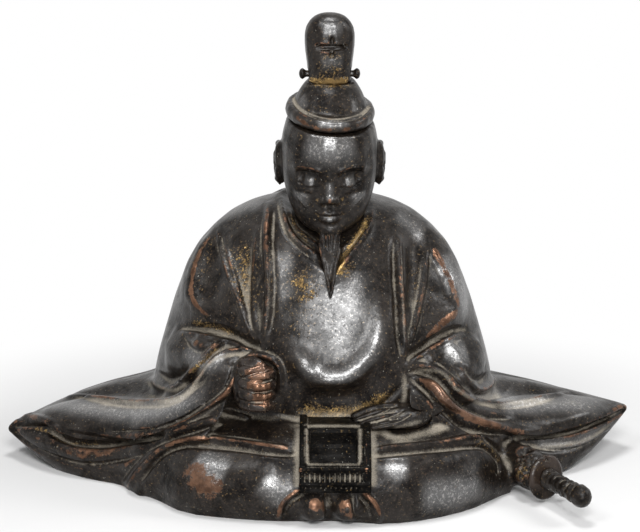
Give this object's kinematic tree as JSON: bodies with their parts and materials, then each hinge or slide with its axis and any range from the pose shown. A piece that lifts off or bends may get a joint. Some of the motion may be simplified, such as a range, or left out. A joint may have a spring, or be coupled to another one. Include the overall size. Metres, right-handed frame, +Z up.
{
  "type": "seated figure ornament",
  "caption": "Cast bronze ornament of a robed court figure seated cross-legged, with court cap, spread sleeves, one fist raised, one palm flat, fringed sash and sword hilt.",
  "frame": {"origin": "centre of the footprint's bounding box, on the plane the figure sits on", "axes": "+Z up, the figure faces -Y, its own left hand is at +X; the width across the sleeves lies along X"},
  "size_m": [0.2074, 0.1032, 0.1525],
  "materials": {
    "dark_bronze": "cast bronze with a near-black waxed patina, rubbed to copper brown on the ridges",
    "worn_bronze": "cast bronze, patina worn through to copper brown by handling",
    "brazed_gold": "brazing metal with a golden, granular look under a thin patina",
    "black_panel": "cast bronze with a dull black patina, pale dust in the corners"
  },
  "bodies": {
    "root": {"trunk_casting": "dark_bronze", "right_sleeve": "dark_bronze", "left_sleeve": "dark_bronze", "lap_casting": "dark_bronze", "head_casting": "dark_bronze", "court_cap": "dark_bronze", "cap_crest": "dark_bronze", "cap_hairpin": "brazed_gold", "neck_pin": "worn_bronze", "right_hand": "worn_bronze", "left_hand": "dark_bronze", "sword_guard": "worn_bronze", "sword_hilt": "dark_bronze", "sash_panel": "black_panel"}
  },
  "joints": []
}
